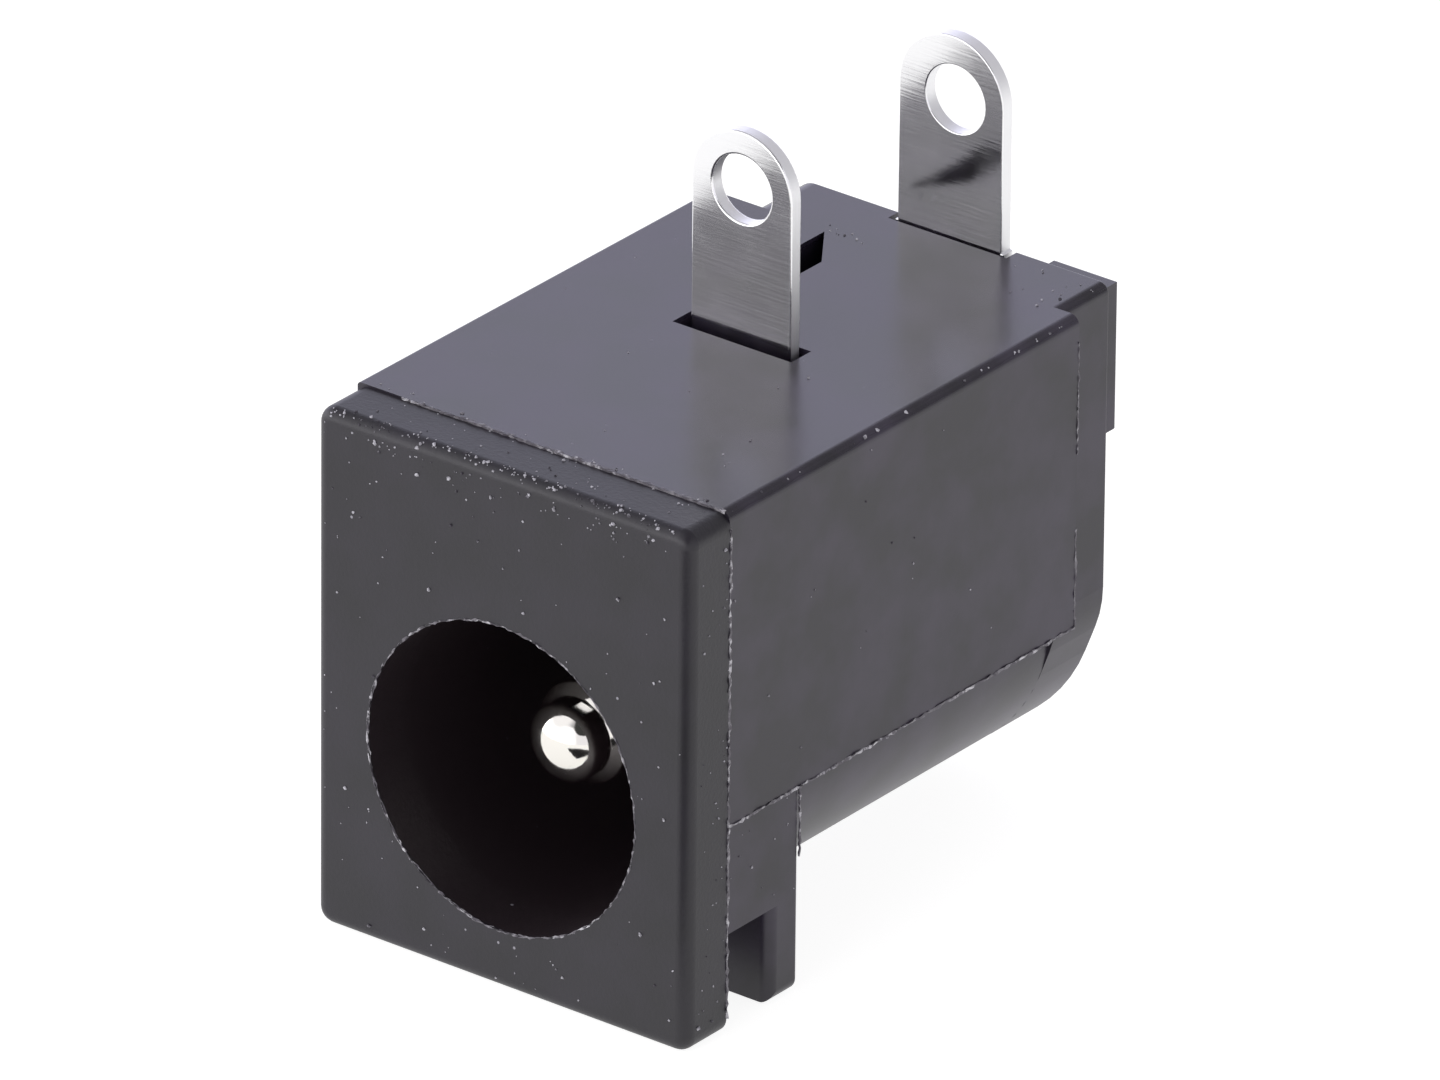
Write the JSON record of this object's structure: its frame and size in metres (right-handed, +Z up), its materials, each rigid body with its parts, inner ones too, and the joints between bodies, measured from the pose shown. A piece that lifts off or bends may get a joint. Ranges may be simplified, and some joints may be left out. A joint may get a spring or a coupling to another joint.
{
  "type": "dc barrel jack",
  "caption": "Panel-edge DC barrel jack: a black block with a square flange, a round socket with a centre pin, a panel groove, a rear cover and two upright solder lugs with wire eyes.",
  "frame": {"origin": "centre of the socket's mouth, on the front face of the flange", "axes": "+Y runs back along the plug's axis from the mouth to the rear cover, +X along the flange to the right as seen from the front, +Z up to the solder lugs"},
  "size_m": [0.009, 0.014, 0.0154],
  "materials": {
    "housing": "matt black moulded thermoplastic with a fine grain",
    "rear_cover": "matt black moulded thermoplastic with a fine grain",
    "center_pin": "turned brass, bright nickel plated",
    "pin_terminal": "stamped brass sheet, tin plated, lightly scratched",
    "sleeve_terminal": "stamped spring brass, tin plated, lightly scratched"
  },
  "bodies": {
    "root": {"housing": "housing", "rear_cover": "rear_cover", "center_pin": "center_pin", "pin_terminal": "pin_terminal", "sleeve_terminal": "sleeve_terminal"}
  },
  "joints": []
}
